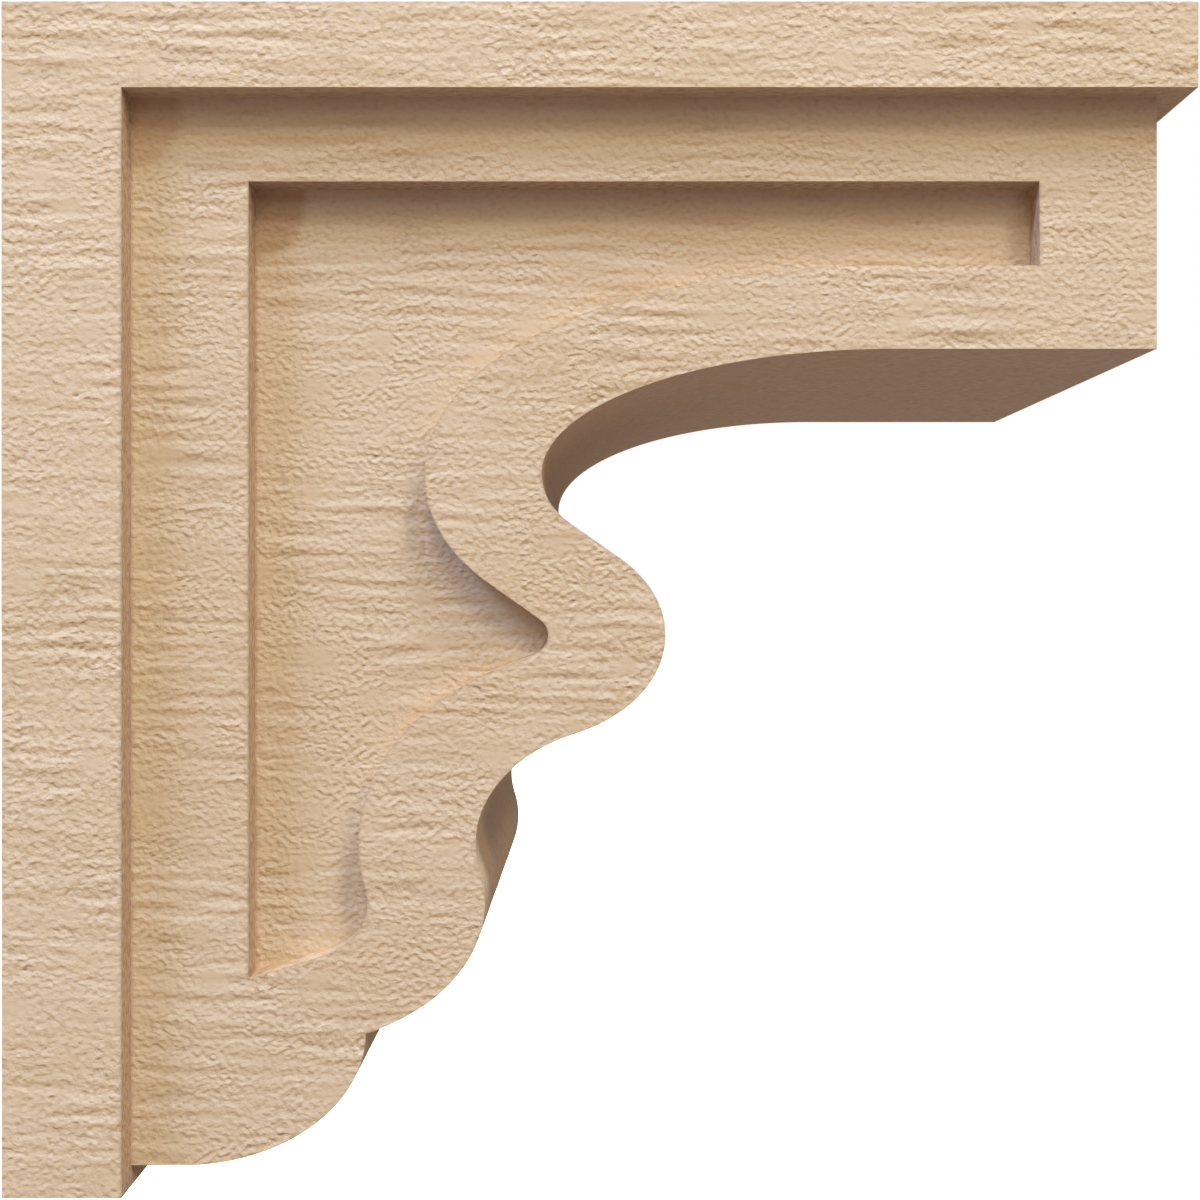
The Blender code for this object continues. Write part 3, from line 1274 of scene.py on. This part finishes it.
@dataclass
class Studio:
    """Pale floor, soft lights and the camera of the square-on view: metres, the sensor in millimetres."""

    sizes: Sizes
    frame_pixels: float = 1200.0
    focal_pixels: float = 1015.2
    clearance: float = 0.3016
    sensor: float = 36.0
    clip: float = 0.01
    floor_drop: float = 0.55
    floor_half: float = 30.0
    floor_tone: Colour = (0.9, 0.9, 0.9, 1.0)
    floor_roughness: float = 0.9
    white: Colour = (1.0, 1.0, 1.0, 1.0)
    distance: float = 6.0
    net_gap: float = 0.0005
    net_through: Colour = (0.54, 0.51, 0.47, 1.0)
    lights: tuple[SoftBox, ...] = (
        SoftBox("key", (-0.24, -0.33, 0.91), 1.05, (0.90, 0.95, 1.0), 0.735),
        SoftBox("front top", (-0.47, 0.0, 0.88), 1.05, (0.98, 1.0, 0.75), 0.285),
        SoftBox("right", (-0.47, -0.57, 0.68), 1.05, (1.0, 0.89, 0.61), 0.280),
        SoftBox("left", (-0.24, 0.62, 0.74), 1.05, (0.45, 0.65, 1.0), 0.630),
        SoftBox("left wide", (-0.24, 0.62, 0.74), 2.6, (0.66, 0.78, 1.0), 0.410),
        SoftBox("near", (-0.74, 0.0, 0.67), 3.0, (1.0, 0.79, 0.41), 0.115),
        SoftBox("far side", (1.0, 0.20, 0.15), 3.0, (1.0, 0.93, 0.85), 0.6),
        SoftBox("back", (0.45, 0.85, 0.25), 3.0, (1.0, 0.80, 0.60), 0.35),
    )
    above: Colour = (0.250, 0.195, 0.130, 1.0)
    below: Colour = (0.392, 0.333, 0.328, 1.0)
    horizon: float = 0.5

    @property
    def centre(self) -> Vector:
        """Middle of the corbel's box."""
        return Vector((0.0, -self.sizes.depth * self.sizes.stretch / 2, 0.0))

    @staticmethod
    def sheet(name: str, low: Pair, high: Pair, level: float) -> tuple[bpy.types.Object, bpy.types.Material]:
        """A level sheet between two corners, which isn't part of the object, and its material."""
        flat = [low, (high[0], low[1]), high, (low[0], high[1])]
        mesh = bpy.data.meshes.new(name)
        mesh.from_pydata([(x, y, level) for x, y in flat], [], [(0, 1, 2, 3)])
        sheet = bpy.data.objects.new(name, mesh)
        bpy.context.scene.collection.objects.link(sheet)
        made = bpy.data.materials.new(name)
        made.use_nodes = True
        mesh.materials.append(made)
        return sheet, made

    def floor(self) -> None:
        """A plain pale floor well below the corbel, as it hangs."""
        half = self.floor_half
        level = -self.sizes.top - self.floor_drop
        floor, made = self.sheet("floor", (-half, -half), (half, half), level)
        floor.visible_diffuse = False
        floor.visible_glossy = False
        floor.visible_shadow = False
        shader = made.node_tree.nodes["Principled BSDF"]
        shader.inputs["Base Color"].default_value = self.floor_tone
        shader.inputs["Roughness"].default_value = self.floor_roughness
        shader.inputs["Emission Color"].default_value = self.white
        shader.inputs["Emission Strength"].default_value = 1.0

    def net(self) -> None:
        """A thin net just over the top plate, which dims the steep light on its top face alone."""
        s = self.sizes
        net, made = self.sheet("net", (-s.half, -s.depth * s.stretch), (s.half, 0.0), s.top + self.net_gap)
        net.visible_camera = False
        net.visible_glossy = False
        tree = made.node_tree
        tree.nodes.remove(tree.nodes["Principled BSDF"])
        through = Graph(tree).node("ShaderNodeBsdfTransparent", inputs={"Color": self.net_through})
        tree.links.new(through.socket, tree.nodes["Material Output"].inputs["Surface"])

    def world(self) -> None:
        """A white background, with a dimmer warm light from all round for what it lights."""
        scene = bpy.context.scene
        world = bpy.data.worlds.new("studio")
        world.use_nodes = True
        scene.world = world
        tree = world.node_tree
        tree.nodes.remove(tree.nodes["Background"])
        graph = Graph(tree)
        seen = graph.node("ShaderNodeBackground", inputs={"Color": self.white, "Strength": 1.0})
        towards = graph.node("ShaderNodeTexCoord", output="Generated")
        up = graph.node("ShaderNodeSeparateXYZ", inputs={0: towards}, output="Z")
        colour = graph.mix(up.over(-self.horizon, self.horizon), self.below, self.above)
        lit = graph.node("ShaderNodeBackground", inputs={"Color": colour, "Strength": 1.0})
        ray = graph.node("ShaderNodeLightPath", output="Is Camera Ray")
        both = graph.node("ShaderNodeMixShader", inputs={0: ray, 1: lit, 2: seen})
        tree.links.new(both.socket, tree.nodes["World Output"].inputs["Surface"])
        scene.view_settings.view_transform = "Standard"
        scene.view_settings.look = "None"

    def lamps(self) -> None:
        """The soft lights round the corbel."""
        for box in self.lights:
            data = bpy.data.lights.new(box.name, "AREA")
            data.shape = "SQUARE"
            data.size = box.side
            data.color = box.colour
            data.energy = box.strength * (math.pi * self.distance) ** 2
            lamp = bpy.data.objects.new(box.name, data)
            towards = Vector(box.towards).normalized()
            lamp.location = self.centre + towards * self.distance
            lamp.rotation_euler = towards.to_track_quat("Z", "Y").to_euler()
            lamp.visible_camera = False
            bpy.context.scene.collection.objects.link(lamp)

    def camera(self) -> None:
        """The camera square on to the corbel's side, close in front of the plates."""
        data = bpy.data.cameras.new("camera")
        data.sensor_width = self.sensor
        data.lens = self.sensor * self.focal_pixels / self.frame_pixels
        data.clip_start = self.clip
        camera = bpy.data.objects.new("camera", data)
        camera.location = self.centre - Vector((self.sizes.half + self.clearance, 0.0, 0.0))
        camera.rotation_euler = Vector((1.0, 0.0, 0.0)).to_track_quat("-Z", "Y").to_euler()
        bpy.context.scene.collection.objects.link(camera)
        bpy.context.scene.camera = camera

    def build(self) -> None:
        """Set up the floor, net, background, lights and camera."""
        self.floor()
        self.net()
        self.world()
        self.lamps()
        self.camera()


def main() -> None:
    """Load the frame, build the skin and the studio."""
    logging.basicConfig(level=logging.INFO, format="%(name)s: %(message)s")
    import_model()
    corbel = Corbel()
    skin = corbel.build()
    skin.data.materials.append(Primer().material())
    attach(skin, BODY)
    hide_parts(NODE)
    log.info("%s rides on %s", skin.name, BODY)
    Studio(corbel.sizes).build()


if __name__ == "__main__":
    main()
